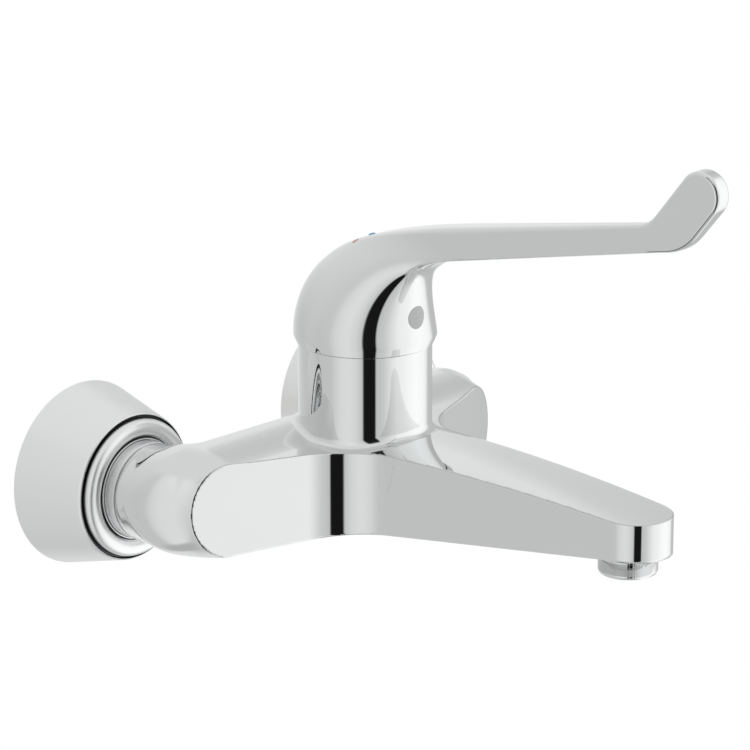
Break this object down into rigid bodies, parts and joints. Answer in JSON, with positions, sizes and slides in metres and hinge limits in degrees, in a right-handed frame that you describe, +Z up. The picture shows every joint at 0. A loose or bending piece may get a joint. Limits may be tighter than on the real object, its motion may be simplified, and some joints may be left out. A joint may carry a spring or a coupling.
{
  "type": "elbow lever tap",
  "caption": "Wall-mounted chrome mixer tap with a long elbow lever, a swept body on two eccentric unions with conical escutcheons, and a tapering spout with an aerator.",
  "frame": {"origin": "midway between the axes of the two wall tails, on the finished wall's surface", "axes": "+X along the wall to the right of a person who faces it, +Y into the wall, +Z up; the spout points along -Y"},
  "size_m": [0.224, 0.2743, 0.1857],
  "materials": {
    "chrome": "polished chrome plate",
    "brass": "machined",
    "steel": "turned stainless steel",
    "fibre": "matt fibre",
    "seal": "matt rubber",
    "ceramic": "lapped ceramic",
    "cartridge_white": "moulded",
    "cartridge_blue": "moulded",
    "cartridge_red": "moulded",
    "plug_grey": "satin metallised plastic",
    "mark_blue": "gloss enamel",
    "mark_red": "gloss enamel",
    "insert_white": "moulded"
  },
  "bodies": {
    "fixed": {"body": "chrome", "left_escutcheon": "chrome", "right_escutcheon": "chrome", "left_s_union": "brass", "right_s_union": "brass", "left_union_nut": "chrome", "right_union_nut": "chrome", "left_tailpiece": "brass", "right_tailpiece": "brass", "left_washer": "fibre", "right_washer": "fibre", "left_strainer": "steel", "right_strainer": "steel", "cartridge_housing": "cartridge_white", "cartridge_base": "cartridge_blue", "base_seals": "seal", "disc_seals": "seal", "fixed_disc": "ceramic", "temperature_limiter": "cartridge_red", "retaining_nut": "brass", "aerator_housing": "chrome", "aerator_insert": "insert_white", "aerator_gasket": "seal"},
    "swivel": {"rotor": "cartridge_red", "pivot_pin": "steel"},
    "handle": {"lever": "chrome", "stem": "steel", "grub_screw": "steel", "screw_plug": "plug_grey", "cold_mark": "mark_blue", "hot_mark": "mark_red"},
    "disc": {"moving_disc": "ceramic", "disc_carrier": "cartridge_white"}
  },
  "joints": [
    {"name": "swivel", "type": "hinge", "parent": "fixed", "child": "swivel", "pos_m": [0, -0.0834, 0.06], "axis": [0, 0, 1], "range_deg": [-50, 50]},
    {"name": "lift", "type": "hinge", "parent": "swivel", "child": "handle", "pos_m": [0, -0.0834, 0.0515], "axis": [-1, 0, 0], "range_deg": [0, 20]},
    {"name": "disc_slide", "type": "slide", "parent": "swivel", "child": "disc", "axis": [0, -1, 0], "range_m": [0, 0.004]}
  ],
  "couplings": [
    {"joint": "disc_slide", "follows": "lift", "m_per_rad": 0.0108}
  ]
}
